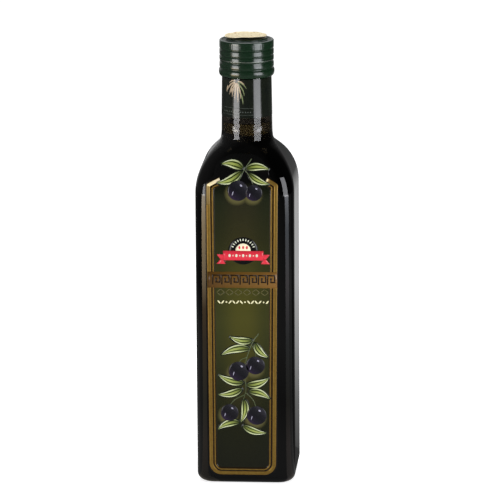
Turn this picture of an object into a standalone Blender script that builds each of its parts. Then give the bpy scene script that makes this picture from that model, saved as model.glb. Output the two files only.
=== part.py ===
"""Half-litre square glass bottle with a turned screw cap, its labels and the oil in it.

Metres, +Z up. The origin is at the centre of the base and the front label faces -Y.
"""
import math

import bmesh
import bpy
from mathutils import Vector

MM = 0.001
GAP = 0.3 * MM

# Bottle body: a square with rounded corners, sides vertical up to the shoulder.
HALF_SIDE = 29.2 * MM
CORNER_RADIUS = 8.5 * MM
FOOT_RADIUS = 5.7 * MM
FOOT_CORNER_RADIUS = 5.6 * MM
BEARING_WIDTH = 4.0 * MM
PUSH_UP_SLOPE = 3.0 * MM
PUSH_UP_HEIGHT = 1.6 * MM

# Shoulder: one arc over the flat faces, while the corners grow slightly rounder.
CORNER_GROWTH_START = 165.0 * MM
SHOULDER_CORNER_RADIUS = 10.5 * MM
FACE_ARC_START = 175.6 * MM
FACE_ARC_RADIUS = 34.0 * MM
NECK_BLEND = 3.0 * MM

# Neck, which narrows slightly towards the mouth.
NECK_START = 205.0 * MM
NECK_RADIUS_LOW = 15.0 * MM
NECK_RADIUS_HIGH = 14.4 * MM
NECK_TAPER_END = 243.0 * MM
MOUTH_HEIGHT = 262.0 * MM
LIP_ROUND = 1.0 * MM

# Glass thickness and the level of the oil.
WALL = 3.05 * MM
BASE_THICKNESS = 5.4 * MM
INNER_FOOT_RADIUS = 4.5 * MM
NECK_WALL = 3.3 * MM
OIL_LEVEL = 214.5 * MM

# Screw cap and the ring left below its tear line.
CAP_RADIUS = 16.05 * MM
CAP_WALL = 1.0 * MM
CAP_RIM_HEIGHT = 264.0 * MM
CAP_RIM_ROUND = 0.9 * MM
CAP_RIM_INNER_RADIUS = 13.9 * MM
CAP_PLATEAU_RADIUS = 12.4 * MM
CAP_PLATEAU_FOOT = 263.5 * MM
CAP_PLATEAU_HEIGHT = 264.9 * MM
CAP_CEILING = 262.4 * MM
TEAR_LINE = 252.3 * MM
TEAR_GAP = 0.4 * MM
GROOVE_HEIGHTS = (258.7 * MM, 254.9 * MM)
GROOVE_HALF_WIDTH = 0.7 * MM
GROOVE_DEPTH = 0.35 * MM
BAND_NECK_RADIUS = 15.75 * MM
BAND_NECK_HEIGHT = 251.3 * MM
BAND_WAIST_RADIUS = 15.95 * MM
BAND_WAIST_HEIGHT = 247.3 * MM
BAND_STEP = 1.0 * MM
BAND_BULGE_RADIUS = 16.4 * MM
BAND_BULGE_HEIGHT = 245.2 * MM
BAND_FOOT_HEIGHT = 242.5 * MM
BAND_FOOT_RADIUS = 15.3 * MM
SEAL_RADIUS = 12.7 * MM
SEAL_THICKNESS = 0.4 * MM
SEAL_EDGE = 0.08 * MM

# Labels.
LABEL_THICKNESS = 0.25 * MM
LABEL_OFFSET = -1.3 * MM
LABEL_BOTTOM = 6.2 * MM
LABEL_HALF_BOTTOM = 20.2 * MM
LABEL_HALF_TOP = 21.4 * MM
LABEL_CORNER = 6.0 * MM
LABEL_CHAMFER_START = 179.5 * MM
LABEL_CHAMFER_END = 187.5 * MM
LABEL_CREST_TOP = 199.5 * MM
LABEL_CREST_HALF = 16.0 * MM
LABEL_CREST_POWER = 2.4
LABEL_TIP = 0.3 * MM
LABEL_COLUMNS = 16
NECK_LABEL_BOTTOM = 219.0 * MM
NECK_LABEL_TOP = 241.8 * MM

# Mesh density.
POINTS_PER_CORNER = 10
SHOULDER_RINGS = 13
BLEND_HEIGHT = 6.0 * MM
TURN_STEPS = 48
MERGE = 0.00005
NORMAL_STEP = 0.05 * MM

GLASS_GREEN = (0.016, 0.022, 0.010, 1.0)
OIL_GOLD = (0.42, 0.33, 0.03, 1.0)
CAP_GREEN = (0.010, 0.045, 0.022, 1.0)
SEAL_GOLD = (0.80, 0.66, 0.34, 1.0)
LABEL_OLIVE = (0.030, 0.028, 0.012, 1.0)
FILM_CREAM = (0.60, 0.54, 0.38, 1.0)


def clear_scene():
    for old in list(bpy.data.objects):
        bpy.data.objects.remove(old, do_unlink=True)


def material(name, colour, roughness, metallic):
    made = bpy.data.materials.new(name)
    made.use_nodes = True
    shader = made.node_tree.nodes["Principled BSDF"]
    shader.inputs["Base Color"].default_value = colour
    shader.inputs["Roughness"].default_value = roughness
    shader.inputs["Metallic"].default_value = metallic
    return made


def add_object(name, bm, collection, made_material):
    bmesh.ops.recalc_face_normals(bm, faces=bm.faces)
    mesh = bpy.data.meshes.new(name)
    bm.to_mesh(mesh)
    bm.free()
    mesh.materials.append(made_material)
    made = bpy.data.objects.new(name, mesh)
    collection.objects.link(made)
    return made


def steps(start, end, count):
    """The values after start that reach end in count equal steps."""
    return [start + (end - start) * (i + 1) / count for i in range(count)]


def soft_max(a, b, width):
    return 0.5 * (a + b + math.hypot(a - b, width))


def face_half_width(z, inset):
    """Half-width between the flat faces at height z, moved in by inset."""
    rise = z - FACE_ARC_START
    if rise <= 0:
        return HALF_SIDE - inset
    radius = FACE_ARC_RADIUS - inset
    if rise >= radius:
        return 0.0
    return HALF_SIDE - FACE_ARC_RADIUS + math.sqrt(radius * radius - rise * rise)


def corner_radius(z, inset):
    share = (z - CORNER_GROWTH_START) / (NECK_START - CORNER_GROWTH_START)
    growth = SHOULDER_CORNER_RADIUS - CORNER_RADIUS
    return CORNER_RADIUS + growth * min(max(share, 0.0), 1.0) - inset


def neck_radius(z):
    share = (z - NECK_START) / (NECK_TAPER_END - NECK_START)
    share = min(max(share, 0.0), 1.0)
    return NECK_RADIUS_LOW + (NECK_RADIUS_HIGH - NECK_RADIUS_LOW) * share


def wall_section(z, inset=0.0, neck_inset=0.0):
    """Half-width and corner radius of the wall at height z, above the foot."""
    half = face_half_width(z, inset)
    diagonal = math.sqrt(2) * half - (math.sqrt(2) - 1) * corner_radius(z, inset)
    if z > FACE_ARC_START:
        neck = neck_radius(z) - neck_inset
        half = soft_max(half, neck, NECK_BLEND)
        diagonal = max(soft_max(diagonal, neck, NECK_BLEND), half)
    corner = (math.sqrt(2) * half - diagonal) / (math.sqrt(2) - 1)
    return half, min(max(corner, inset), half)


def ring(half, corner, z):
    """Points around a rounded square, counter-clockwise; a circle when corner equals half."""
    centre = half - corner
    points = []
    for quarter in range(4):
        middle = math.radians(90 * quarter + 45)
        cx = centre * math.copysign(1, math.cos(middle))
        cy = centre * math.copysign(1, math.sin(middle))
        for i in range(POINTS_PER_CORNER):
            angle = math.radians(90 * quarter + 90 * (i + 0.5) / POINTS_PER_CORNER)
            points.append((cx + corner * math.cos(angle), cy + corner * math.sin(angle), z))
    return points


def loft(name, rings, collection, made_material):
    """Closed solid through rings of equal point count, with a flat face at each end."""
    bm = bmesh.new()
    rows = [[bm.verts.new(p) for p in points] for points in rings]
    for low, high in zip(rows, rows[1:]):
        for i in range(len(low)):
            j = (i + 1) % len(low)
            bm.faces.new((low[i], low[j], high[j], high[i]))
    bm.faces.new(rows[0][::-1])
    bm.faces.new(rows[-1])
    return add_object(name, bm, collection, made_material)


def shoulder_levels(top):
    """Heights of the rings over the shoulder, as far as top."""
    arc = steps(FACE_ARC_START, NECK_START, SHOULDER_RINGS)
    blend = steps(NECK_START, NECK_START + BLEND_HEIGHT, 2)
    levels = [CORNER_GROWTH_START, FACE_ARC_START] + arc + blend
    return [z for z in levels if z < top]


def foot_rings():
    """Underside from its centre out to the bearing ring, and the rounded foot up to the wall."""
    rings = []
    bearing_half = HALF_SIDE - FOOT_RADIUS
    inner_half = bearing_half - BEARING_WIDTH
    rings.append(ring(inner_half - PUSH_UP_SLOPE, FOOT_CORNER_RADIUS, PUSH_UP_HEIGHT))
    rings.append(ring(inner_half, FOOT_CORNER_RADIUS, 0.0))
    for i in range(6):
        angle = math.radians(90 * i / 5)
        half = bearing_half + FOOT_RADIUS * math.sin(angle)
        corner = FOOT_CORNER_RADIUS + (CORNER_RADIUS - FOOT_CORNER_RADIUS) * math.sin(angle)
        rings.append(ring(half, corner, FOOT_RADIUS * (1 - math.cos(angle))))
    return rings


def cavity_rings(inset, neck_inset, floor, top):
    """Rings of the inside from its floor up to top, for the cavity and for the oil."""
    rings = []
    half, corner = wall_section(floor + INNER_FOOT_RADIUS, inset, neck_inset)
    for i in range(5):
        angle = math.radians(90 * i / 4)
        shrink = INNER_FOOT_RADIUS * (1 - math.sin(angle))
        rise = INNER_FOOT_RADIUS * (1 - math.cos(angle))
        rings.append(ring(half - shrink, corner, floor + rise))
    levels = shoulder_levels(top) + [top]
    return rings + [ring(*wall_section(z, inset, neck_inset), z) for z in levels]


def build_bottle(collection, made_material):
    rings = foot_rings()
    rings += [ring(*wall_section(z), z) for z in shoulder_levels(MOUTH_HEIGHT)]
    lip_foot = MOUTH_HEIGHT - LIP_ROUND
    for z in (NECK_TAPER_END, lip_foot):
        rings.append(ring(neck_radius(z), neck_radius(z), z))
    outer = neck_radius(MOUTH_HEIGHT)
    bore = outer - NECK_WALL
    for radius in (outer - LIP_ROUND, bore + LIP_ROUND):
        rings.append(ring(radius, radius, MOUTH_HEIGHT))
    cavity = cavity_rings(WALL, NECK_WALL, BASE_THICKNESS, lip_foot)
    return loft("bottle", rings + cavity[::-1], collection, made_material)


def build_oil(collection, made_material):
    rings = cavity_rings(WALL + GAP, NECK_WALL + GAP, BASE_THICKNESS + GAP, OIL_LEVEL)
    return loft("oil", rings, collection, made_material)


def turned(name, profile, closed, collection, made_material):
    """Solid of revolution; the profile (radius, height) runs down its outer side."""
    bm = bmesh.new()
    verts = [bm.verts.new((r, 0.0, z)) for r, z in profile]
    for a, b in zip(verts, verts[1:]):
        bm.edges.new((a, b))
    if closed:
        bm.edges.new((verts[-1], verts[0]))
    mesh = bpy.data.meshes.new(name)
    bm.to_mesh(mesh)
    bm.free()
    mesh.materials.append(made_material)
    made = bpy.data.objects.new(name, mesh)
    collection.objects.link(made)
    screw = made.modifiers.new("Turn", "SCREW")
    screw.axis = "Z"
    screw.angle = math.tau
    screw.steps = TURN_STEPS
    screw.render_steps = TURN_STEPS
    screw.use_merge_vertices = True
    screw.merge_threshold = MERGE
    return made


def groove(height):
    """Profile of one rolled groove, from its top edge to its bottom edge."""
    floor = CAP_RADIUS - GROOVE_DEPTH
    half = GROOVE_HALF_WIDTH
    return [
        (CAP_RADIUS, height + half),
        (floor, height + half / 3),
        (floor, height - half / 3),
        (CAP_RADIUS, height - half),
    ]


def build_cap(collection, made_material):
    inner = CAP_RADIUS - CAP_WALL
    edge = CAP_RIM_HEIGHT - CAP_RIM_ROUND
    profile = [
        (0.0, CAP_PLATEAU_HEIGHT),
        (CAP_PLATEAU_RADIUS, CAP_PLATEAU_HEIGHT),
        (CAP_PLATEAU_RADIUS, CAP_PLATEAU_FOOT),
        (CAP_RIM_INNER_RADIUS, CAP_PLATEAU_FOOT),
        (CAP_RIM_INNER_RADIUS + 0.5 * (CAP_RIM_HEIGHT - CAP_PLATEAU_FOOT), CAP_RIM_HEIGHT),
    ]
    for i in range(4):
        angle = math.radians(90 - 30 * i)
        r = CAP_RADIUS - CAP_RIM_ROUND + CAP_RIM_ROUND * math.cos(angle)
        profile.append((r, edge + CAP_RIM_ROUND * math.sin(angle)))
    for height in GROOVE_HEIGHTS:
        profile += groove(height)
    bottom = TEAR_LINE + TEAR_GAP / 2
    profile += [(CAP_RADIUS, bottom), (inner, bottom), (inner, CAP_CEILING), (0.0, CAP_CEILING)]
    return turned("cap", profile, False, collection, made_material)


def build_tamper_band(collection, made_material):
    inner = CAP_RADIUS - CAP_WALL
    top = TEAR_LINE - TEAR_GAP / 2
    curl = BAND_BULGE_RADIUS - BAND_FOOT_RADIUS
    profile = [
        (CAP_RADIUS, top),
        (BAND_NECK_RADIUS, BAND_NECK_HEIGHT),
        (CAP_RADIUS, BAND_NECK_HEIGHT - BAND_STEP),
        (CAP_RADIUS, BAND_WAIST_HEIGHT + BAND_STEP),
        (BAND_WAIST_RADIUS, BAND_WAIST_HEIGHT),
        (BAND_BULGE_RADIUS, BAND_WAIST_HEIGHT - BAND_STEP),
        (BAND_BULGE_RADIUS, BAND_BULGE_HEIGHT),
    ]
    for i in (1, 2, 3):
        angle = math.radians(30 * i)
        r = BAND_FOOT_RADIUS + curl * math.cos(angle)
        drop = (BAND_BULGE_HEIGHT - BAND_FOOT_HEIGHT) * math.sin(angle)
        profile.append((r, BAND_BULGE_HEIGHT - drop))
    profile += [(inner, BAND_FOOT_HEIGHT + 0.4 * MM), (inner, top)]
    return turned("tamper_band", profile, True, collection, made_material)


def build_seal(collection, made_material):
    low = CAP_PLATEAU_HEIGHT + GAP
    high = low + SEAL_THICKNESS
    profile = [
        (0.0, high),
        (SEAL_RADIUS - SEAL_EDGE, high),
        (SEAL_RADIUS, high - SEAL_EDGE),
        (SEAL_RADIUS, low),
        (0.0, low),
    ]
    return turned("cap_seal", profile, False, collection, made_material)


def build_neck_label(collection, made_material):
    low = NECK_LABEL_BOTTOM
    high = NECK_LABEL_TOP
    inner_high = neck_radius(high) + GAP
    inner_low = neck_radius(low) + GAP
    profile = [
        (inner_high + LABEL_THICKNESS, high),
        (inner_low + LABEL_THICKNESS, low),
        (inner_low, low),
        (inner_high, high),
    ]
    return turned("neck_label", profile, True, collection, made_material)


def front_depth(x, z):
    """Distance of the outer front surface from the axis at width x and height z."""
    half, corner = wall_section(z)
    beyond = abs(x) - (half - corner)
    if beyond <= 0:
        return half
    return half - corner + math.sqrt(max(corner * corner - beyond * beyond, 0.0))


def front_point(x, z, lift):
    """Point lifted off the front surface by lift, along the surface normal."""
    step = NORMAL_STEP
    slope_x = (front_depth(x + step, z) - front_depth(x - step, z)) / (2 * step)
    slope_z = (front_depth(x, z + step) - front_depth(x, z - step)) / (2 * step)
    normal = Vector((-slope_x, -1.0, -slope_z)).normalized()
    return Vector((x, -front_depth(x, z), z)) + normal * lift


def label_half_width(z):
    """Half-width of the front label: rounded foot, slight taper, cut corners and a crest."""
    share = (z - LABEL_BOTTOM) / (LABEL_CHAMFER_START - LABEL_BOTTOM)
    half = LABEL_HALF_BOTTOM + (LABEL_HALF_TOP - LABEL_HALF_BOTTOM) * min(share, 1.0)
    below = LABEL_BOTTOM + LABEL_CORNER - z
    if below > 0:
        half -= LABEL_CORNER - math.sqrt(max(LABEL_CORNER**2 - below**2, 0.0))
    if z > LABEL_CHAMFER_END:
        share = (z - LABEL_CHAMFER_END) / (LABEL_CREST_TOP - LABEL_CHAMFER_END)
        return LABEL_CREST_HALF * max(1 - share**LABEL_CREST_POWER, 0.0) ** 0.5
    if z > LABEL_CHAMFER_START:
        share = (z - LABEL_CHAMFER_START) / (LABEL_CHAMFER_END - LABEL_CHAMFER_START)
        half += (LABEL_CREST_HALF - half) * share
    return half


def label_levels():
    corner = [
        LABEL_BOTTOM + LABEL_CORNER * (1 - math.cos(math.radians(90 * i / 5))) for i in range(6)
    ]
    wall = steps(corner[-1], CORNER_GROWTH_START, 3)
    shoulder = [FACE_ARC_START, LABEL_CHAMFER_START]
    chamfer = steps(LABEL_CHAMFER_START, LABEL_CHAMFER_END, 4)
    crest = steps(LABEL_CHAMFER_END, LABEL_CREST_TOP - LABEL_TIP, 6)
    return corner + wall + shoulder + chamfer + crest


def build_front_label(collection, made_material):
    bm = bmesh.new()
    rows = []
    for z in label_levels():
        half = label_half_width(z)
        row = []
        for i in range(LABEL_COLUMNS + 1):
            x = LABEL_OFFSET + half * (2 * i / LABEL_COLUMNS - 1)
            row.append(bm.verts.new(front_point(x, z, GAP)))
        rows.append(row)
    for low, high in zip(rows, rows[1:]):
        for i in range(LABEL_COLUMNS):
            bm.faces.new((low[i], low[i + 1], high[i + 1], high[i]))
    made = add_object("front_label", bm, collection, made_material)
    if made.data.polygons[0].normal.y > 0:
        made.data.flip_normals()
    shell = made.modifiers.new("Thickness", "SOLIDIFY")
    shell.thickness = LABEL_THICKNESS
    shell.offset = 1.0
    shell.use_even_offset = True
    return made


clear_scene()
parts = bpy.data.collections.new("oil_bottle")
bpy.context.scene.collection.children.link(parts)

build_bottle(parts, material("green_glass", GLASS_GREEN, 0.05, 0.0))
build_oil(parts, material("olive_oil", OIL_GOLD, 0.05, 0.0))
build_cap(parts, material("green_lacquer", CAP_GREEN, 0.30, 0.0))
build_tamper_band(parts, material("green_lacquer_band", CAP_GREEN, 0.30, 0.0))
build_seal(parts, material("gold_foil", SEAL_GOLD, 0.35, 1.0))
build_front_label(parts, material("label_print", LABEL_OLIVE, 0.40, 0.0))
build_neck_label(parts, material("neck_film", FILM_CREAM, 0.30, 0.0))
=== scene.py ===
import math

import bmesh
import bpy
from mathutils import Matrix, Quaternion, Vector


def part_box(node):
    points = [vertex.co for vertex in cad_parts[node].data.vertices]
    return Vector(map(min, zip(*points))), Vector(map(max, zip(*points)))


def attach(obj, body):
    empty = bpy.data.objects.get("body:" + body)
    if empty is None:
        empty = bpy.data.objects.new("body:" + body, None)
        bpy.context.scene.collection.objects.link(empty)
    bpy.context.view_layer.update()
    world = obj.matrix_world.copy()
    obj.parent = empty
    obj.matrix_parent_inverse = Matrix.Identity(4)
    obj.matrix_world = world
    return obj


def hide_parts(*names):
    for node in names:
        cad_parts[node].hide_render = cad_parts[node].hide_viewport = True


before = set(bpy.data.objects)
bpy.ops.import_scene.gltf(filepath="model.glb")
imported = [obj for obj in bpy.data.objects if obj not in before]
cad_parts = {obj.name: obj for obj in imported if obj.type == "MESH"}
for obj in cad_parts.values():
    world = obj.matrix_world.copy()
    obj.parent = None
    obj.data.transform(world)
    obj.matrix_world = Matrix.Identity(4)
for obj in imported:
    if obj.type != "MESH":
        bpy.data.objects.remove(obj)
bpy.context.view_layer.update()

# The bottle: a square half-litre oil bottle of antique green container glass, blown in a two-part
# mould. It stands on a narrow ring round a pushed-up base, and its walls are about 3 mm thick.
MM = 0.001
bottle_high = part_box("bottle")[1]
HALF_SIDE = bottle_high.x
MOUTH_HEIGHT = bottle_high.z
CORNER_RADIUS = 8.5 * MM
FOOT_RADIUS = 5.7 * MM
FOOT_CORNER_RADIUS = 5.6 * MM
BEARING_WIDTH = 4.0 * MM
PUSH_UP_SLOPE = 3.0 * MM
PUSH_UP_HEIGHT = 1.6 * MM
CORNER_GROWTH_START = 165.0 * MM
SHOULDER_CORNER_RADIUS = 10.5 * MM
FACE_ARC_START = 175.6 * MM
FACE_ARC_RADIUS = 34.0 * MM
NECK_BLEND = 3.0 * MM
BLEND_GROWTH = 20.0 * MM
NECK_START = 205.0 * MM
NECK_RADIUS_LOW = 15.0 * MM
NECK_RADIUS_HIGH = 14.4 * MM
NECK_TAPER_END = 243.0 * MM
LIP_ROUND = 1.0 * MM
WALL = 3.05 * MM
NECK_WALL = 3.3 * MM
BASE_THICKNESS = 5.4 * MM
INNER_FOOT_RADIUS = 4.5 * MM
CORNER_STEPS = 16
SUPPORT = 0.8 * MM
GLASS_RIPPLE = 22 * MM
GLASS_RIPPLE_DEPTH = 0.012 * MM


def clamp(value, low, high):
    return min(max(value, low), high)


def steps(start, end, count):
    """The values after start that reach end in count equal steps."""
    return [start + (end - start) * (i + 1) / count for i in range(count)]


def soft_max(a, b, width):
    return 0.5 * (a + b + math.hypot(a - b, width))


def face_half_width(z, inset):
    """Half-width between the flat faces at height z, moved in by inset."""
    rise = max(z - FACE_ARC_START, 0.0)
    radius = FACE_ARC_RADIUS - inset
    if rise >= radius:
        return 0.0
    return HALF_SIDE - FACE_ARC_RADIUS + math.sqrt(radius * radius - rise * rise)


def corner_radius(z, inset):
    share = clamp((z - CORNER_GROWTH_START) / (NECK_START - CORNER_GROWTH_START), 0.0, 1.0)
    return CORNER_RADIUS + (SHOULDER_CORNER_RADIUS - CORNER_RADIUS) * share - inset


def neck_radius(z):
    share = clamp((z - NECK_START) / (NECK_TAPER_END - NECK_START), 0.0, 1.0)
    return NECK_RADIUS_LOW + (NECK_RADIUS_HIGH - NECK_RADIUS_LOW) * share


def wall_section(z, inset=0.0, neck_inset=0.0):
    """Half-width and corner radius of the wall at height z, above the foot."""
    half = face_half_width(z, inset)
    diagonal = math.sqrt(2) * half - (math.sqrt(2) - 1) * corner_radius(z, inset)
    if z > FACE_ARC_START:
        neck = neck_radius(z) - neck_inset
        blend = NECK_BLEND * clamp((z - FACE_ARC_START) / BLEND_GROWTH, 0.0, 1.0)
        half = soft_max(half, neck, blend)
        diagonal = max(soft_max(diagonal, neck, blend), half)
    corner = (math.sqrt(2) * half - diagonal) / (math.sqrt(2) - 1)
    return half, clamp(corner, inset, half)


def ring(half, corner, z):
    """Points round a rounded square; a point on the flat on each side of a corner keeps it flat."""
    centre = half - corner
    flat = min(SUPPORT, centre)
    points = []
    for quarter in range(4):
        out = Vector((math.cos(quarter * math.pi / 2), math.sin(quarter * math.pi / 2), 0.0))
        on = Vector((-out.y, out.x, 0.0))
        middle = centre * (out + on) + Vector((0.0, 0.0, z))
        points.append(middle + corner * out - flat * on)
        for i in range(CORNER_STEPS + 1):
            angle = 0.5 * math.pi * i / CORNER_STEPS
            points.append(middle + corner * (out * math.cos(angle) + on * math.sin(angle)))
        points.append(middle + corner * on - flat * out)
    return points


def shoulder_levels(top):
    """Heights of the rings from the wall over the shoulder, as far as top."""
    before = [CORNER_GROWTH_START, FACE_ARC_START - SUPPORT, FACE_ARC_START, FACE_ARC_START + SUPPORT]
    arc = steps(FACE_ARC_START + SUPPORT, NECK_START, 40)
    blend = steps(NECK_START, NECK_START + 10 * MM, 10)
    return [z for z in before + arc + blend if z < top]


def cavity_rings(inset, neck_inset, floor, top):
    """Rings of the inside from its floor up to top, for the cavity and for the oil."""
    rings = []
    half, corner = wall_section(floor + INNER_FOOT_RADIUS, inset, neck_inset)
    for i in range(9):
        angle = math.radians(90 * i / 8)
        shrink = INNER_FOOT_RADIUS * (1 - math.sin(angle))
        rings.append(ring(half - shrink, corner, floor + INNER_FOOT_RADIUS * (1 - math.cos(angle))))
    levels = shoulder_levels(top) + [top]
    return rings + [ring(*wall_section(z, inset, neck_inset), z) for z in levels]


def bottle_rings():
    """Rings from the pushed-up base out, up the wall and neck, over the lip and down the inside."""
    bearing = HALF_SIDE - FOOT_RADIUS
    inner = bearing - BEARING_WIDTH
    rings = [ring(inner - PUSH_UP_SLOPE, FOOT_CORNER_RADIUS, PUSH_UP_HEIGHT)]
    rings.append(ring(inner, FOOT_CORNER_RADIUS, 0.0))
    for i in range(13):
        angle = math.radians(90 * i / 12)
        corner = FOOT_CORNER_RADIUS + (CORNER_RADIUS - FOOT_CORNER_RADIUS) * math.sin(angle)
        height = FOOT_RADIUS * (1 - math.cos(angle))
        rings.append(ring(bearing + FOOT_RADIUS * math.sin(angle), corner, height))
    rings.append(ring(HALF_SIDE, CORNER_RADIUS, FOOT_RADIUS + SUPPORT))
    rings += [ring(*wall_section(z), z) for z in shoulder_levels(MOUTH_HEIGHT)]
    lip_foot = MOUTH_HEIGHT - LIP_ROUND
    rings.append(ring(neck_radius(NECK_TAPER_END), neck_radius(NECK_TAPER_END), NECK_TAPER_END))
    outer = neck_radius(MOUTH_HEIGHT)
    bore = outer - NECK_WALL
    for edge, sign in ((outer, -1), (bore, 1)):
        for i in range(7):
            angle = math.radians(15 * i if sign < 0 else 90 - 15 * i)
            radius = edge + sign * LIP_ROUND * (1 - math.cos(angle))
            rings.append(ring(radius, radius, lip_foot + LIP_ROUND * math.sin(angle)))
    return rings + cavity_rings(WALL, NECK_WALL, BASE_THICKNESS, lip_foot)[::-1]


def into_scene(name, bm, finish):
    """Makes the bmesh an object of that finish."""
    mesh = bpy.data.meshes.new(name)
    bm.to_mesh(mesh)
    bm.free()
    mesh.materials.append(finish)
    made = bpy.data.objects.new(name, mesh)
    bpy.context.scene.collection.objects.link(made)
    return made


def skin(name, rings, finish, hard_edge=40, hoop=False):
    """Closed skin through rings of equally many points: flat faces over the ends, or a hoop."""
    bm = bmesh.new()
    rows = [[bm.verts.new(point) for point in points] for points in rings]
    for low, high in zip(rows, rows[1:] + rows[: 1 if hoop else 0]):
        for i in range(len(low)):
            j = (i + 1) % len(low)
            bm.faces.new((low[i], low[j], high[j], high[i]))
    if not hoop:
        bm.faces.new(rows[0][::-1])
        bm.faces.new(rows[-1])
    bmesh.ops.remove_doubles(bm, verts=bm.verts, dist=0.002 * MM)
    bmesh.ops.recalc_face_normals(bm, faces=bm.faces)
    made = into_scene(name, bm, finish)
    made.data.shade_smooth()
    made.data.set_sharp_from_angle(angle=math.radians(hard_edge))
    return made


def linear(colour):
    """Linear RGBA of a six-digit sRGB hex colour."""
    parts = [int(colour[i : i + 2], 16) / 255 for i in (1, 3, 5)]
    return [c / 12.92 if c <= 0.04045 else ((c + 0.055) / 1.055) ** 2.4 for c in parts] + [1.0]


def node(tree, kind, values, stops=()):
    """Adds a node; each value is for a setting or an input, and a node or socket is linked to it."""
    made = tree.nodes.new("ShaderNode" + kind)
    for i, (place, colour) in enumerate(stops):
        elements = made.color_ramp.elements
        if i == 0:
            elements.remove(elements[1])
        stop = elements.new(place) if i else elements[0]
        stop.position = place
        stop.color = linear(colour)
    for name, value in values.items():
        if isinstance(value, bpy.types.Node):
            value = next(out for out in value.outputs if out.enabled)
        if isinstance(value, bpy.types.NodeSocket):
            tree.links.new(value, made.inputs[name])
        elif hasattr(made, str(name)):
            setattr(made, name, value)
        else:
            made.inputs[name].default_value = value
    return made


def blank_finish(name):
    """A material with no nodes yet, and its node tree."""
    made = bpy.data.materials.new(name)
    made.use_nodes = True
    made.node_tree.nodes.clear()
    return made, made.node_tree


# Antique green container glass, moulded. Its tint deepens below the neck, so the body is black and
# the neck alone lets a little brown light through; the mould leaves a faint ripple in its gloss.
GLASS_LOSS = (520.0, 545.0, 585.0)
DEEP_WALL_TOP = 199.0 * MM
NECK_WALL_FOOT = 204.0 * MM
glass, tree = blank_finish("container_glass_antique_green_moulded")
place = node(tree, "TexCoord", {}).outputs["Object"]
ripple = node(tree, "TexNoise", {"Vector": place, "Scale": 1 / GLASS_RIPPLE, "Detail": 1.0})
waves = node(tree, "Bump", {"Height": ripple, "Distance": GLASS_RIPPLE_DEPTH, "Strength": 1.0})
axes = node(tree, "SeparateXYZ", {"Vector": place})
up_neck = node(tree, "MapRange", {
    "Value": axes.outputs["Z"], "From Min": DEEP_WALL_TOP, "From Max": NECK_WALL_FOOT})
depth_tone = node(tree, "ValToRGB", {"Fac": up_neck}, ((0.0, "#17160f"), (1.0, "#ffffff")))
shader = node(tree, "BsdfPrincipled", {
    "Base Color": depth_tone, "Roughness": 0.0, "IOR": 1.52,
    "Transmission Weight": 1.0, "Normal": waves})
most = max(GLASS_LOSS)
depth = node(tree, "VolumeAbsorption", {
    "Color": [1 - loss / most for loss in GLASS_LOSS] + [1.0], "Density": most})
node(tree, "OutputMaterial", {"Surface": shader, "Volume": depth})

bottle = skin("bottle_glass", bottle_rings(), glass)
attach(bottle, "root")
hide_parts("bottle")

# The oil: it fills the bottle to the lower neck and wets the glass all round. Its skin reaches
# just into the wall, so no air shows between them, and it climbs the wall a little at the top.
OIL_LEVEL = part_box("oil")[1].z
INTO_WALL = 0.05 * MM
MENISCUS_RISE = 0.9 * MM
MENISCUS_WIDTH = 2.2 * MM
OIL_LOSS = (24.0, 31.0, 58.0)

oil_rings = cavity_rings(
    WALL - INTO_WALL, NECK_WALL - INTO_WALL, BASE_THICKNESS - INTO_WALL, OIL_LEVEL + MENISCUS_RISE)
oil_edge = neck_radius(OIL_LEVEL) - NECK_WALL + INTO_WALL
for share in (0.04, 0.12, 0.25, 0.45, 0.7, 1.0):
    radius = oil_edge - MENISCUS_WIDTH * share
    oil_rings.append(ring(radius, radius, OIL_LEVEL + MENISCUS_RISE * (1 - share) ** 3))

# Clear olive oil: it takes out the blue, so thin places are gold and deep ones green-brown.
oil_finish, tree = blank_finish("olive_oil_clear")
shader = node(tree, "BsdfPrincipled", {
    "Base Color": linear("#fdf6d0"), "Roughness": 0.0, "IOR": 1.47, "Transmission Weight": 1.0})
most = max(OIL_LOSS)
depth = node(tree, "VolumeAbsorption", {
    "Color": [1 - loss / most for loss in OIL_LOSS] + [1.0], "Density": most})
node(tree, "OutputMaterial", {"Surface": shader, "Volume": depth})

oil = skin("olive_oil", oil_rings, oil_finish, 80)
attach(oil, "root")
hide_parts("oil")

# The cap: a roll-on cap spun from lacquered aluminium. Its grip is a band of fine ribs at the
# top; below that two rolled grooves hold the liner and the thread, and the tear line is cut.
cap_low, cap_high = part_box("cap")
CAP_RADIUS = cap_high.x
CAP_BOTTOM = cap_low.z
CAP_PLATEAU_HEIGHT = cap_high.z
CAP_WALL = 1.0 * MM
CAP_RIM_HEIGHT = 264.0 * MM
CAP_RIM_ROUND = 0.9 * MM
CAP_RIM_INNER_RADIUS = 13.9 * MM
CAP_PLATEAU_RADIUS = 12.4 * MM
CAP_PLATEAU_EDGE = 0.3 * MM
CAP_PLATEAU_FOOT = 263.5 * MM
CAP_CEILING = 262.4 * MM
GROOVE_HEIGHTS = (258.7 * MM, 254.9 * MM)
GROOVE_HALF_WIDTH = 0.75 * MM
GROOVE_DEPTH = 0.38 * MM
RIB_COUNT = 84
RIB_DEPTH = 0.035 * MM
RIB_LOW = 259.7 * MM
RIB_HIGH = 262.9 * MM
RIB_FADE = 0.5 * MM
LACQUER_SPECK = 0.35 * MM
LACQUER_PEEL = 0.006 * MM
# Height, reach and full width of the painted highlight line along the rim's crest.
RIM_HIGHLIGHT_HEIGHT = 263.9 * MM
RIM_HIGHLIGHT_REACH = 0.34 * MM
RIM_HIGHLIGHT_FULL = 0.1 * MM


def turned_ring(radius, z, count=192, ribs=0.0):
    """Points round a circle; ribs is how deep the flutes between the ribs are cut there."""
    points = []
    for i in range(count):
        angle = math.tau * i / count
        r = radius - ribs * (0.5 - 0.5 * math.cos(RIB_COUNT * angle))
        points.append(Vector((r * math.cos(angle), r * math.sin(angle), z)))
    return points


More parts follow.
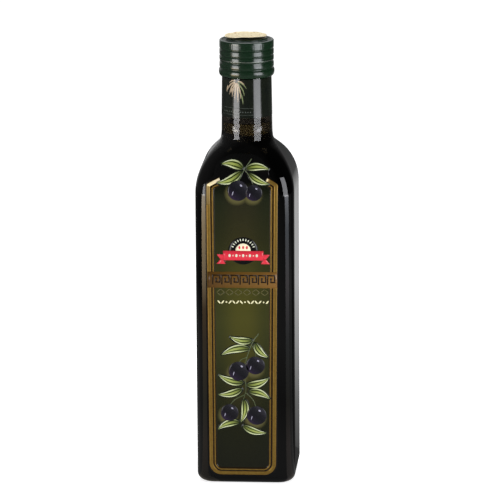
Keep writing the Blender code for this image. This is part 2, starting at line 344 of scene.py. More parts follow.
def grooved(z):
    """Radius of the cap's skirt at height z, with its rolled grooves."""
    radius = CAP_RADIUS
    for height in GROOVE_HEIGHTS:
        off = abs(z - height) / GROOVE_HALF_WIDTH
        if off < 1:
            radius -= GROOVE_DEPTH * (0.5 + 0.5 * math.cos(math.pi * off))
    return radius


CAP_POINTS = RIB_COUNT * 6
cap_profile = [(CAP_PLATEAU_RADIUS - CAP_PLATEAU_EDGE, CAP_PLATEAU_HEIGHT)]
cap_profile += [(CAP_PLATEAU_RADIUS, CAP_PLATEAU_HEIGHT - CAP_PLATEAU_EDGE)]
cap_profile += [(CAP_PLATEAU_RADIUS, CAP_PLATEAU_FOOT), (CAP_RIM_INNER_RADIUS, CAP_PLATEAU_FOOT)]
rim_centre = CAP_RADIUS - CAP_RIM_ROUND
for i in range(11):
    angle = math.radians(150 - 15 * i)
    height = CAP_RIM_HEIGHT - CAP_RIM_ROUND + CAP_RIM_ROUND * math.sin(angle)
    cap_profile.append((rim_centre + CAP_RIM_ROUND * math.cos(angle), height))
skirt = steps(CAP_RIM_HEIGHT - CAP_RIM_ROUND, CAP_BOTTOM, 64)
cap_profile += [(grooved(z), z) for z in skirt]
cap_inner = CAP_RADIUS - CAP_WALL
cap_profile += [(cap_inner, CAP_BOTTOM), (cap_inner, CAP_CEILING)]
cap_rings = []
for radius, z in cap_profile:
    inside_ribs = RIB_LOW < z < RIB_HIGH and radius > cap_inner
    fade = clamp(min(z - RIB_LOW, RIB_HIGH - z) / RIB_FADE, 0.0, 1.0)
    cap_rings.append(turned_ring(radius, z, CAP_POINTS, RIB_DEPTH * fade if inside_ribs else 0.0))

# Lacquered aluminium, roller-coated before drawing: deep green with a hard gloss, and a faint
# orange-peel unevenness that breaks up the edges of its highlights. A pale grey line along the
# rim's crest is a painted highlight.
lacquer, tree = blank_finish("aluminium_green_lacquer_roller_coated")
place = node(tree, "TexCoord", {}).outputs["Object"]
speck = node(tree, "TexNoise", {"Vector": place, "Scale": 1 / LACQUER_SPECK, "Detail": 2.0})
tone = node(tree, "ValToRGB", {"Fac": speck}, ((0.3, "#0b1e10"), (0.7, "#0f2615")))
peel = node(tree, "Bump", {"Height": speck, "Distance": LACQUER_PEEL, "Strength": 1.0})
axes = node(tree, "SeparateXYZ", {"Vector": place})
# Painted highlight: a pale grey line along the crest of the rim, where an overhead lamp would shine.
off_highlight_line = node(tree, "Math", {"operation": "SUBTRACT", 0: axes.outputs["Z"], 1: RIM_HIGHLIGHT_HEIGHT})
from_highlight_line = node(tree, "Math", {"operation": "ABSOLUTE", 0: off_highlight_line})
rim_highlight_share = node(tree, "MapRange", {
    "Value": from_highlight_line, "From Min": RIM_HIGHLIGHT_REACH, "From Max": RIM_HIGHLIGHT_FULL})
painted_rim_highlight = node(tree, "Mix", {"data_type": "RGBA", "Factor": rim_highlight_share, 6: tone, 7: linear("#666c6a")})
shader = node(tree, "BsdfPrincipled", {
    "Base Color": painted_rim_highlight, "Roughness": 0.2, "IOR": 1.54,
    "Coat Weight": 0.3, "Coat Roughness": 0.07, "Normal": peel})
node(tree, "OutputMaterial", {"Surface": shader})

cap = skin("screw_cap", cap_rings, lacquer)
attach(cap, "root")
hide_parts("cap")

# The tamper ring: the lowest part of the same cap, spun in under the neck bead. It is cut almost
# free along the tear line, where a scored line of bare metal still joins it to the cap.
band_low, band_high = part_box("tamper_band")
BAND_TOP = band_high.z
BAND_FOOT_HEIGHT = band_low.z
BAND_BULGE_RADIUS = band_high.x
BAND_NECK_RADIUS = 15.75 * MM
BAND_NECK_HEIGHT = 251.3 * MM
BAND_WAIST_DEPTH = 0.25 * MM
BAND_WAIST_HEIGHT = 247.3 * MM
BAND_BULGE_HEIGHT = 245.2 * MM
BAND_ROLL_WIDTH = 0.7 * MM
BAND_FOOT_RADIUS = 15.3 * MM
CUT_EDGE_RADIUS = 15.9 * MM
CUT_LAP = 0.1 * MM


def band_radius(z):
    """Radius of the tamper ring's outside at height z."""
    if z < BAND_BULGE_HEIGHT:
        drop = (BAND_BULGE_HEIGHT - z) / (BAND_BULGE_HEIGHT - BAND_FOOT_HEIGHT)
        curl = BAND_BULGE_RADIUS - BAND_FOOT_RADIUS
        return BAND_FOOT_RADIUS + curl * math.sqrt(max(1 - drop * drop, 0.0))
    dip = math.exp(-(((z - BAND_NECK_HEIGHT) / BAND_ROLL_WIDTH) ** 2))
    waist = math.exp(-(((z - BAND_WAIST_HEIGHT) / BAND_ROLL_WIDTH) ** 2))
    bulge = clamp((BAND_WAIST_HEIGHT - z) / (1.2 * MM), 0.0, 1.0)
    radius = CAP_RADIUS + (BAND_BULGE_RADIUS - CAP_RADIUS) * bulge
    return radius - (CAP_RADIUS - BAND_NECK_RADIUS) * dip - BAND_WAIST_DEPTH * waist


band_profile = [(band_radius(z), z) for z in [BAND_TOP] + steps(BAND_TOP, BAND_FOOT_HEIGHT, 56)]
band_profile += [(cap_inner + 0.1 * MM, BAND_FOOT_HEIGHT + 0.5 * MM), (cap_inner, BAND_TOP)]
band = skin("tamper_ring", [turned_ring(r, z) for r, z in band_profile], lacquer, hoop=True)
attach(band, "root")
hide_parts("tamper_band")

# Bare aluminium, cut with a knife: a bright satin line along the tear, without lacquer.
cut_metal, tree = blank_finish("aluminium_bare_cut")
shader = node(tree, "BsdfPrincipled", {
    "Base Color": linear("#8b8f88"), "Roughness": 0.5, "Metallic": 1.0})
node(tree, "OutputMaterial", {"Surface": shader})

cut_inner = cap_inner + CUT_LAP
cut_profile = (
    (cut_inner, BAND_TOP - CUT_LAP), (CUT_EDGE_RADIUS, BAND_TOP - CUT_LAP),
    (CUT_EDGE_RADIUS, CAP_BOTTOM + CUT_LAP), (cut_inner, CAP_BOTTOM + CUT_LAP))
score = skin("tear_line_score", [turned_ring(r, z) for r, z in cut_profile], cut_metal)
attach(score, "root")

# The seal: a disc of embossed gold foil stuck over the middle of the cap. It is a little larger
# than the plateau, so its edge is loose: it curls up at the front and droops a little on the left.
seal_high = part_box("cap_seal")[1]
SEAL_RADIUS = seal_high.x * 0.975
SEAL_SHIFT = -0.5 * MM
SEAL_TOP = seal_high.z
SEAL_FOIL = 0.22 * MM
SEAL_LIFT = 0.6 * MM
SEAL_DROOP = 0.7 * MM
SEAL_CURL = 1.3 * MM
SEAL_WAVE = 0.16 * MM
SEAL_BEAD_HEIGHT = 0.06 * MM
SEAL_RELIEF = 0.05 * MM
FOIL_CRINKLE = 1.6 * MM
FOIL_CREASE = 0.04 * MM
SEAL_DROOP_TURN = math.radians(-125)
SEAL_RINGS = 36
SEAL_POINTS = 192


def seal_height(radius, angle):
    """Top of the foil: stamped rings, beads and petals, and a loose edge with waves and a curl."""
    share = radius / SEAL_RADIUS
    loose = clamp((share - 0.8) / 0.2, 0.0, 1.0) ** 2
    waves = 0.5 * math.sin(7 * angle + 0.6) + 0.3 * math.sin(12 * angle + 2.0)
    towards = 0.5 + 0.5 * math.cos(angle - SEAL_DROOP_TURN)
    height = -SEAL_BEAD_HEIGHT + loose * (SEAL_LIFT + SEAL_WAVE * waves - SEAL_DROOP * towards**4)
    height += SEAL_CURL * max(-share * math.sin(angle), 0.0) ** 1.5
    height += SEAL_RELIEF * math.exp(-(((share - 0.74) / 0.02) ** 2))
    height += SEAL_RELIEF * math.exp(-(((share - 0.5) / 0.02) ** 2))
    beads = max(math.cos(32 * angle), 0.0)
    height += SEAL_BEAD_HEIGHT * beads * math.exp(-(((share - 0.63) / 0.05) ** 2))
    petals = max(math.cos(8 * angle), 0.0)
    height += SEAL_RELIEF * petals * math.exp(-(((share - 0.3) / 0.12) ** 2))
    return SEAL_TOP + height


def seal_ring(k, drop):
    """Points round ring k of the foil, that far below its top."""
    radius = SEAL_RADIUS * (k / SEAL_RINGS) ** 0.85
    points = []
    for i in range(SEAL_POINTS):
        angle = math.tau * i / SEAL_POINTS
        z = seal_height(radius, angle) - drop
        points.append(Vector((SEAL_SHIFT + radius * math.cos(angle), radius * math.sin(angle), z)))
    return points


seal_rings = [seal_ring(k, 0.0) for k in range(1, SEAL_RINGS + 1)]
seal_rings += [seal_ring(k, SEAL_FOIL) for k in range(SEAL_RINGS, 0, -4)]

# Gold foil paper, stamped: a pale satin metal with a warm paper tone, soft at the edge.
foil, tree = blank_finish("foil_paper_gold_stamped")
place = node(tree, "TexCoord", {}).outputs["Object"]
crinkle = node(tree, "TexNoise", {"Vector": place, "Scale": 1 / FOIL_CRINKLE, "Detail": 4.0})
tone = node(tree, "ValToRGB", {"Fac": crinkle}, (
    (0.32, "#b89468"), (0.44, "#f3e3ba"), (0.7, "#fdf2d2")))
creases = node(tree, "Bump", {"Height": crinkle, "Distance": FOIL_CREASE, "Strength": 0.6})
shader = node(tree, "BsdfPrincipled", {
    "Base Color": tone, "Roughness": 0.42, "Metallic": 0.15, "Normal": creases})
node(tree, "OutputMaterial", {"Surface": shader})

seal = skin("cap_seal_foil", seal_rings, foil, 50)
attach(seal, "root")
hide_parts("cap_seal")

# The front label: varnished label paper, stuck to the flat face, round the edge of its corners
# and up on to the shoulder. It is black but for the olive panel inside the gold frame.
LABEL_SURFACE = 0.34 * MM
LABEL_BACK = 0.02 * MM
LABEL_OFFSET = -1.3 * MM
LABEL_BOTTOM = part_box("front_label")[0].z
LABEL_HALF_BOTTOM = 20.2 * MM
LABEL_HALF_TOP = 21.4 * MM
LABEL_CORNER = 6.0 * MM
LABEL_CHAMFER_START = 182.2 * MM
LABEL_CHAMFER_END = 187.5 * MM
LABEL_CREST_TOP = 199.5 * MM
LABEL_CREST_HALF = 16.0 * MM
LABEL_CREST_POWER = 2.4
LABEL_TIP = 0.3 * MM
PANEL_CENTRE = -1.2 * MM
PANEL_HALF = 17.0 * MM
PANEL_BOTTOM = 9.8 * MM
PANEL_TOP = 183.0 * MM
PANEL_EVEN_HALF = 2.0 * MM
PANEL_DIM_HALF = 15.0 * MM
PAPER_FIBRE = 0.9 * MM
PAPER_TOOTH = 0.0015 * MM
# Centre (x, z) of each printed olive and its half-width, in mm, from the top down.
OLIVES = (
    (-3.4, 178.6, 6.1), (6.0, 177.4, 4.9),
    (6.3, 73.2, 5.6), (-3.6, 69.6, 6.0),
    (-9.2, 44.2, 5.3), (6.9, 42.6, 5.9),
)


def front_depth(x, z):
    """Distance of the outer front surface from the axis at width x and height z."""
    half, corner = wall_section(z)
    beyond = abs(x) - (half - corner)
    if beyond <= 0:
        return half
    return half - corner + math.sqrt(max(corner * corner - beyond * beyond, 0.0))


def on_front(x, z, lift):
    """Point lifted off the front surface by lift, along the surface normal."""
    near = 0.05 * MM
    slope_x = (front_depth(x + near, z) - front_depth(x - near, z)) / (2 * near)
    slope_z = (front_depth(x, z + near) - front_depth(x, z - near)) / (2 * near)
    normal = Vector((-slope_x, -1.0, -slope_z)).normalized()
    return Vector((x, -front_depth(x, z), z)) + normal * lift


def label_half_width(z):
    """Half-width of the label: rounded foot, slight taper, cut corners and a crest."""
    share = (z - LABEL_BOTTOM) / (LABEL_CHAMFER_START - LABEL_BOTTOM)
    half = LABEL_HALF_BOTTOM + (LABEL_HALF_TOP - LABEL_HALF_BOTTOM) * min(share, 1.0)
    below = LABEL_BOTTOM + LABEL_CORNER - z
    if below > 0:
        half -= LABEL_CORNER - math.sqrt(max(LABEL_CORNER**2 - below**2, 0.0))
    if z > LABEL_CHAMFER_END:
        share = (z - LABEL_CHAMFER_END) / (LABEL_CREST_TOP - LABEL_CHAMFER_END)
        return LABEL_CREST_HALF * max(1 - share**LABEL_CREST_POWER, 0.0) ** 0.5
    if z > LABEL_CHAMFER_START:
        share = (z - LABEL_CHAMFER_START) / (LABEL_CHAMFER_END - LABEL_CHAMFER_START)
        half += (LABEL_CREST_HALF - half) * share
    return half


def layer(name, patches, place_on, low, high, finish):
    """Thin closed layers between the lifts low and high, one for each grid of (x, z, u, v) rows."""
    bm = bmesh.new()
    chart = bm.loops.layers.uv.new("print")
    for grid in patches:
        fronts = [[bm.verts.new(place_on(x, z, high)) for x, z, u, v in row] for row in grid]
        backs = [[bm.verts.new(place_on(x, z, low)) for x, z, u, v in row] for row in grid]
        spots = {}
        for sheet in (fronts, backs):
            for row, source in zip(sheet, grid):
                for vert, (x, z, u, v) in zip(row, source):
                    spots[vert] = (u, v)
        faces = []
        for i in range(len(grid) - 1):
            for j in range(len(grid[0]) - 1):
                for sheet in (fronts, backs):
                    corners = (sheet[i][j], sheet[i][j + 1], sheet[i + 1][j + 1], sheet[i + 1][j])
                    face = bm.faces.new(corners if sheet is fronts else corners[::-1])
                    face.smooth = True
                    faces.append(face)
        right = [(i, len(grid[0]) - 1) for i in range(1, len(grid))]
        edge = [(0, j) for j in range(len(grid[0]))] + right
        edge += [(len(grid) - 1, j) for j in range(len(grid[0]) - 2, -1, -1)]
        edge += [(i, 0) for i in range(len(grid) - 2, 0, -1)]
        for (a, b), (c, d) in zip(edge, edge[1:] + edge[:1]):
            face = bm.faces.new((fronts[c][d], fronts[a][b], backs[a][b], backs[c][d]))
            face.smooth = False
            faces.append(face)
        for face in faces:
            for loop in face.loops:
                loop[chart].uv = spots[loop.vert]
        face = faces[0]
        face.normal_update()
        outward = fronts[0][0].co - backs[0][0].co
        if face.normal.dot(outward) < 0:
            bmesh.ops.reverse_faces(bm, faces=faces)
    return into_scene(name, bm, finish)


LABEL_COLUMNS = 90
label_zs = [LABEL_BOTTOM + LABEL_CORNER * (1 - math.cos(math.radians(6 * i))) for i in range(16)]
label_zs += steps(label_zs[-1], CORNER_GROWTH_START, 50)
label_zs += steps(CORNER_GROWTH_START, LABEL_CREST_TOP - LABEL_TIP, 48)
label_grid = []
for z in label_zs:
    half = label_half_width(z)
    across = [2 * j / LABEL_COLUMNS - 1 for j in range(LABEL_COLUMNS + 1)]
    label_grid.append([(LABEL_OFFSET + half * s, z, s, z) for s in across])

# Label paper, offset printed and varnished: deep black and olive tones under an even gloss. The
# panel is lightest in its middle, and warmer round each printed olive.
PANEL_TONES = (
    (10, "#111206"), (36, "#161706"), (58, "#2a2810"), (82, "#39370d"), (100, "#3f3d11"),
    (122, "#3b390d"), (150, "#29270f"), (172, "#201f10"), (183, "#0a0b06"),
)
PANEL_EDGE_TONES = (
    (10, "#101106"), (36, "#141606"), (58, "#1d1f0b"), (82, "#292b0f"), (100, "#303110"),
    (122, "#2c2d0d"), (150, "#20210b"), (172, "#181c0c"), (183, "#070a05"),
)
PANEL_RAMP_TOP = 200 * MM
label_paper, tree = blank_finish("label_paper_offset_printed_varnished")
place = node(tree, "TexCoord", {}).outputs["Object"]
axes = node(tree, "SeparateXYZ", {"Vector": place})
height = node(tree, "Math", {"operation": "DIVIDE", 0: axes.outputs["Z"], 1: PANEL_RAMP_TOP})
tones = []
for stops in (PANEL_TONES, PANEL_EDGE_TONES):
    shares = tuple((z * MM / PANEL_RAMP_TOP, colour) for z, colour in stops)
    tones.append(node(tree, "ValToRGB", {"Fac": height}, shares))
off_centre = node(tree, "Math", {"operation": "SUBTRACT", 0: axes.outputs["X"], 1: PANEL_CENTRE})
spread = node(tree, "Math", {"operation": "ABSOLUTE", 0: off_centre})
to_edge = node(tree, "MapRange", {
    "interpolation_type": "SMOOTHSTEP", "Value": spread,
    "From Min": PANEL_EVEN_HALF, "From Max": PANEL_DIM_HALF})
panel = node(tree, "Mix", {"data_type": "RGBA", "Factor": to_edge, 6: tones[0], 7: tones[1]})
flat_spot = node(tree, "CombineXYZ", {"X": axes.outputs["X"], "Z": axes.outputs["Z"]})
glow = None
for x, z, half in OLIVES:
    middle = ((x - 0.8) * MM, 0.0, (z - 1.6) * MM)
    away = node(tree, "VectorMath", {"operation": "DISTANCE", 0: flat_spot, 1: middle})
    halo = node(tree, "MapRange", {
        "interpolation_type": "SMOOTHERSTEP", "Value": away,
        "From Min": (half + 2.0) * MM, "From Max": (half - 1.5) * MM})
    if glow is None:
        glow = halo
    else:
        glow = node(tree, "Math", {"operation": "MAXIMUM", 0: glow, 1: halo})
warm = node(tree, "Mix", {"data_type": "RGBA", "Factor": glow, 6: panel, 7: linear("#4f4b2a")})
in_width = node(tree, "Math", {"operation": "LESS_THAN", 0: spread, 1: PANEL_HALF})
above = node(tree, "Math", {"operation": "GREATER_THAN", 0: axes.outputs["Z"], 1: PANEL_BOTTOM})
below = node(tree, "Math", {"operation": "LESS_THAN", 0: axes.outputs["Z"], 1: PANEL_TOP})
in_height = node(tree, "Math", {"operation": "MULTIPLY", 0: above, 1: below})
inside = node(tree, "Math", {"operation": "MULTIPLY", 0: in_width, 1: in_height})
colour = node(tree, "Mix", {"data_type": "RGBA", "Factor": inside, 6: linear("#050505"), 7: warm})
fibre = node(tree, "TexNoise", {"Vector": place, "Scale": 1 / PAPER_FIBRE, "Detail": 3.0})
tooth = node(tree, "Bump", {"Height": fibre, "Distance": PAPER_TOOTH, "Strength": 1.0})
shader = node(tree, "BsdfPrincipled", {
    "Base Color": colour, "Roughness": 0.16, "IOR": 1.5, "Normal": tooth})
node(tree, "OutputMaterial", {"Surface": shader})

label = layer("front_label_paper", [label_grid], on_front, LABEL_BACK, LABEL_SURFACE, label_paper)
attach(label, "root")
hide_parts("front_label")

# The frame: a broad and a narrow line of gold foil, hot-stamped over a dark brown ground. Both
# run up the sides, follow the cut corners inwards and stop short of each other at the top.
BROAD_LINE = 2.1 * MM
NARROW_LINE = 0.7 * MM
GROUND_HALF = 2.35 * MM
# Half-widths of the painted highlight on the left and right cut corners.
LEFT_HIGHLIGHT_HALF = 0.9 * MM
RIGHT_HIGHLIGHT_HALF = 0.8 * MM
GOLD_GRAIN = 1.2 * MM
LAYER = 0.03 * MM
STEP = 1.5 * MM
BROAD_PATH = (
    (-14.1, 185.1), (-20.9, 181.6), (-20.2, 7.1), (17.1, 7.1), (18.9, 182.0), (13.4, 185.1),
)
NARROW_PATH = (
    (-13.3, 182.9), (-18.4, 180.4), (-17.9, 9.25), (14.6, 9.25), (16.4, 180.8), (12.6, 183.1),
)
GROUND_PATH = (
    (-13.7, 184.1), (-19.8, 181.1), (-19.2, 8.2), (16.1, 8.2), (17.8, 181.5), (13.1, 184.2),
)


def rounded(points, radii):
    """Path in metres through points in mm, with an arc of the given radius at each inner corner."""
    spots = [Vector(p) * MM for p in points]
    path = [spots[0]]
    for before, corner, after, radius in zip(spots, spots[1:], spots[2:], radii):
        back = (before - corner).normalized()
        on = (after - corner).normalized()
        half_angle = back.angle(on) / 2
        middle = corner + (back + on).normalized() * (radius * MM / math.sin(half_angle))
        first = corner + back * (radius * MM / math.tan(half_angle)) - middle
        last = corner + on * (radius * MM / math.tan(half_angle)) - middle
        path += [middle + first.slerp(last, k / 8) * (radius * MM) for k in range(9)]
    return path + [spots[-1]]


def divided(path, step):
    """The same path with no stretch longer than step."""
    points = [path[0]]
    for a, b in zip(path, path[1:]):
        parts = max(math.ceil((b - a).length / step), 1)
        points += [a.lerp(b, (k + 1) / parts) for k in range(parts)]
    return points


def strip(spine, half_widths, columns=4):
    """Grid of (x, z, u, v) rows across a spine of 2D points; u runs along it and v across."""
    grid = []
    for i, spot in enumerate(spine):
        before = spine[max(i - 1, 0)]
        after = spine[min(i + 1, len(spine) - 1)]
        one = (spot - before).normalized() if i else (after - spot).normalized()
        two = (after - spot).normalized() if i < len(spine) - 1 else one
        mitre = (one + two) / (1 + one.dot(two))
        side = Vector((-mitre.y, mitre.x))
        row = []
        for j in range(columns + 1):
            v = 2 * j / columns - 1
            x, z = spot + side * (half_widths[i] * v)
            row.append((x, z, i / (len(spine) - 1), v))
        grid.append(row)
    return grid


def line(points, half_width, columns=2):
    return strip(points, [half_width] * len(points), columns)


def printed(name, patches, level, ink, place_on=on_front, base=LABEL_SURFACE, slot="label_print"):
    """Prints the patches as layer number level, over the label or over another base."""
    made = layer(name, patches, place_on, base + level * LAYER, base + (level + 1) * LAYER, ink)
    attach(made, "root")


def flat_ink(name, colour, roughness=0.22):
    """Plain ink of one colour, with an even gloss."""
    made, tree = blank_finish(name)
    shader = node(tree, "BsdfPrincipled", {
        "Base Color": linear(colour), "Roughness": roughness, "IOR": 1.5})
    node(tree, "OutputMaterial", {"Surface": shader})
    return made


# Brown offset ink under varnish: a warm dark edge that sets off the gold.
brown_ink = flat_ink("offset_ink_brown_varnished", "#1d1000", 0.2)

ground_path = divided(rounded(GROUND_PATH, (1.5, 5.0, 5.0, 1.5)), STEP)
printed("frame_brown_ground", [line(ground_path, GROUND_HALF, 8)], 0, brown_ink)

# Gold foil, hot-stamped on paper: a warm satin metal, brown where it mirrors the dark; the cream
# on its cut corners is a painted highlight laid over it. The paper under it shows as a fine grain.
gold, tree = blank_finish("gold_foil_hot_stamped")
place = node(tree, "TexCoord", {}).outputs["Object"]
grain = node(tree, "TexNoise", {"Vector": place, "Scale": 1 / GOLD_GRAIN, "Detail": 3.0})
tone = node(tree, "ValToRGB", {"Fac": grain}, ((0.3, "#927030"), (0.7, "#a2823c")))
shader = node(tree, "BsdfPrincipled", {"Base Color": tone, "Roughness": 0.34, "Metallic": 0.75})
node(tree, "OutputMaterial", {"Surface": shader})

broad_path = divided(rounded(BROAD_PATH, (1.2, 6.0, 6.0, 1.2)), STEP)
narrow_path = divided(rounded(NARROW_PATH, (1.0, 4.0, 4.0, 1.0)), STEP)
printed("frame_broad_gold_line", [line(broad_path, BROAD_LINE / 2, 4)], 1, gold)
printed("frame_narrow_gold_line", [line(narrow_path, NARROW_LINE / 2, 4)], 1, gold)


def shaded_ink(name, stops):
    """Ink whose tone changes along the printed shape."""
    made, tree = blank_finish(name)
    chart = node(tree, "UVMap", {"uv_map": "print"})
    axes = node(tree, "SeparateXYZ", {"Vector": chart})
    tone = node(tree, "ValToRGB", {"Fac": axes.outputs["X"]}, stops)
    shader = node(tree, "BsdfPrincipled", {"Base Color": tone, "Roughness": 0.25, "IOR": 1.5})
    node(tree, "OutputMaterial", {"Surface": shader})
    return made


# Cream layer over the gold of the cut corners: a painted highlight where the bend of the shoulder
# would catch the lamps, strongest on the left and fading down the side.
painted_highlight_ink = shaded_ink("painted_highlight_cream_corners", (
    (0.0, "#cfc09e"), (0.25, "#dccda2"), (0.38, "#f4e6b4"), (0.47, "#d3c088"), (0.6, "#8a723c"),
    (1.0, "#6b5528")))

left_painted_highlight = divided(rounded(((-14.1, 185.1), (-20.9, 181.6), (-20.9, 170.0)), (1.2,)), STEP)
right_painted_highlight = divided([Vector((13.4, 185.1)) * MM, Vector((15.0, 184.2)) * MM], STEP)
painted_corner_highlights = [line(left_painted_highlight, LEFT_HIGHLIGHT_HALF, 4), line(right_painted_highlight, RIGHT_HIGHLIGHT_HALF, 4)]
printed("frame_corner_painted_highlight", painted_corner_highlights, 2, painted_highlight_ink)

# The title band: a flat bar of gold-brown ink across the whole frame, with a dark fret of plain
# squared hooks on it, and below it a dim outlined row and a fine cream row of leaves and dots.
BAND_BAR = (-21.5, 19.4, 120.2, 129.9)
FRET_BOTTOM = 122.2
FRET_PITCH = 5.4
FRET_FIRST = -18.6
FRET_COUNT = 7
FRET_LINE = 0.85
LOZENGE_ROW = 117.5
LOZENGE_FIRST = -14.0
LOZENGE_PITCH = 5.2
LOZENGE_HALF = (2.3, 1.9)
LOZENGE_LINE = 0.4
LEAF_ROW = 111.6
LEAF_FIRST = -15.0
LEAF_PITCH = 2.2


def bar(left, right, low, high):
    """Grid for an upright rectangle, its sides in mm."""
    middle = 0.5 * (low + high)
    spine = divided([Vector((left, middle)) * MM, Vector((right, middle)) * MM], STEP)
    return line(spine, 0.5 * (high - low) * MM)


def blob(x, z, half_x, half_z, tilt=0.0, rows=8, columns=4):
    """Grid for an oval, its centre and half-axes in mm."""
    axis = Vector((math.sin(tilt), math.cos(tilt)))
    spine = []
    widths = []
    for k in range(rows + 1):
        t = -math.cos(math.pi * (0.02 + 0.96 * k / rows))
        spine.append((Vector((x, z)) + axis * (half_z * t)) * MM)
        widths.append(half_x * math.sqrt(1 - t * t) * MM)
    grid = strip(spine, widths, columns)
    for k, row in enumerate(grid):
        t = -math.cos(math.pi * (0.02 + 0.96 * k / rows))
        grid[k] = [(px, pz, t, v * math.sqrt(1 - t * t)) for px, pz, u, v in row]
    return grid


# Gold-brown offset ink: flat and warm, without the metal's play of light.
band_ink = shaded_ink("offset_ink_gold_brown_varnished", (
    (0.0, "#482e08"), (0.3, "#5a3e12"), (0.7, "#66481a"), (1.0, "#755222")))

printed("title_bar", [bar(*BAND_BAR)], 2, band_ink)

hook = ((0.0, 0.0), (0.0, 5.6), (4.2, 5.6), (4.2, 1.5), (1.9, 1.5), (1.9, 3.7), (2.7, 3.7))
hooks = []
for k in range(FRET_COUNT):
    corner = Vector((FRET_FIRST + FRET_PITCH * k, FRET_BOTTOM))
    hooks.append(line([(corner + Vector(p)) * MM for p in hook], FRET_LINE / 2 * MM))
printed("title_bar_fret", hooks, 3, brown_ink)

# Olive offset ink, a shade above the panel: seen only as a dim outline.
dim_ink = flat_ink("offset_ink_olive_varnished", "#55502a", 0.25)

lozenges = []
for k in range(6):
    x = LOZENGE_FIRST + LOZENGE_PITCH * k
    wide, high = LOZENGE_HALF
    around = ((0, 1), (1, 0), (0, -1), (-1, 0), (0, 1))
    points = [Vector((x + wide * a, LOZENGE_ROW + high * b)) * MM for a, b in around]
    lozenges += [line(points[i : i + 2], LOZENGE_LINE / 2 * MM) for i in range(4)]
printed("outlined_lozenge_row", lozenges, 1, dim_ink)

# Cream offset ink: small and clear on the dark panel.
cream_ink = flat_ink("offset_ink_cream_varnished", "#d8d2a6", 0.25)

small_leaves = []
for k in range(14):
    x = LEAF_FIRST + LEAF_PITCH * k
    if k % 5 == 2:
        small_leaves.append(blob(x, LEAF_ROW, 0.5, 0.5))
    else:
        lean = 0.7 if k % 2 else -0.7
        small_leaves.append(blob(x, LEAF_ROW, 0.42, 1.25, lean))
printed("cream_leaf_row", small_leaves, 1, cream_ink)

# The rosette: a black disc with a ring of pale beads, a cream half disc, and a red ribbon with
# forked ends across it. The folds behind the ribbon are a darker red.
ROSETTE = (-0.5, 142.6)
ROSETTE_RADIUS = 8.8
RIBBON_LOW = 136.9
RIBBON_HIGH = 142.6
TAIL_LOW = 134.7
TAIL_HIGH = 140.4
RIBBON_HALF = 11.9
TAIL_INNER = 10.4
TAIL_NOTCH = 13.4
TAIL_OUTER = 15.8
BEAD_RING_RADIUS = 6.7
HALF_DISC_RADIUS = 4.5

# Offset inks under one varnish: each is an even field of colour with the same gloss.
black_ink = flat_ink("offset_ink_black_varnished", "#060706")
red_ink = flat_ink("offset_ink_red_varnished", "#c82a3a")
fold_ink = flat_ink("offset_ink_dark_red_varnished", "#5c1012")
pale_ink = flat_ink("offset_ink_pale_varnished", "#c9cdb8")
ivory_ink = flat_ink("offset_ink_ivory_varnished", "#ddd3b4")

cx, cz = ROSETTE
beads = []
for k in range(11):
    angle = math.radians(22 + 13.6 * k)
    x = cx + BEAD_RING_RADIUS * math.cos(angle)
    z = cz + BEAD_RING_RADIUS * math.sin(angle)
    beads.append(blob(x, z, 0.32, 0.75, math.pi / 2 - angle))
half_disc = [Vector((cx, cz + HALF_DISC_RADIUS * k / 12)) * MM for k in range(12)]
half_disc.append(Vector((cx, cz + HALF_DISC_RADIUS - 0.02)) * MM)
half_widths = []
for spot in half_disc:
    rest = HALF_DISC_RADIUS**2 - (spot.y / MM - cz) ** 2
    half_widths.append(math.sqrt(max(rest, 0.01)) * MM)
lozenges = [blob(cx + dx, cz + 2.0, 0.6, 0.95, rows=6) for dx in (-2.2, 0, 2.2)]
tails = []
folds = []
for side in (-1, 1):
    inner = cx + side * TAIL_INNER
    outer = cx + side * TAIL_OUTER
    notch = cx + side * TAIL_NOTCH
    middle = 0.5 * (TAIL_LOW + TAIL_HIGH)
    for low, high in ((TAIL_LOW, middle), (middle, TAIL_HIGH)):
        tip = low if low == TAIL_LOW else high
        rows = []
        for k in range(5):
            z = low + (high - low) * k / 4
            reach = notch + (outer - notch) * abs(z - middle) / abs(tip - middle)
            rows.append([(x * MM, z * MM, 0.0, 0.0) for x in (inner, 0.5 * (inner + reach), reach)])
        tails.append(rows)
    fold_outer = cx + side * RIBBON_HALF
    rows = []
    for k in range(4):
        share = k / 3
        z_low = TAIL_LOW + (RIBBON_LOW - TAIL_LOW) * share
        x = inner + (fold_outer - inner) * share
        rows.append([(x * MM, z_low * MM, 0.0, 0.0), (x * MM, (RIBBON_LOW + 0.2) * MM, 0.0, 0.0)])
    folds.append(rows)
ribbon_beads = []
for k in range(9):
    half = 0.9 if k % 2 == 0 else 0.45
    ribbon_beads.append(blob(cx - 8.0 + 2.0 * k, 139.75, half * 0.8, half, rows=6))
rosette = (
    ("rosette_disc", [blob(cx, cz, ROSETTE_RADIUS, ROSETTE_RADIUS - 0.6, rows=28, columns=8)], 1, black_ink),
    ("rosette_beads", beads, 2, pale_ink),
    ("rosette_half_disc", [strip(half_disc, half_widths)], 2, ivory_ink),
    ("rosette_lozenges", lozenges, 3, red_ink),
    ("ribbon_tails", tails, 2, red_ink),
    ("ribbon_folds", folds, 3, fold_ink),
    ("ribbon_front", [bar(cx - RIBBON_HALF, cx + RIBBON_HALF, RIBBON_LOW, RIBBON_HIGH)], 4, red_ink),
    ("ribbon_beads", ribbon_beads, 5, pale_ink),
)
for piece in rosette:
    printed(*piece)

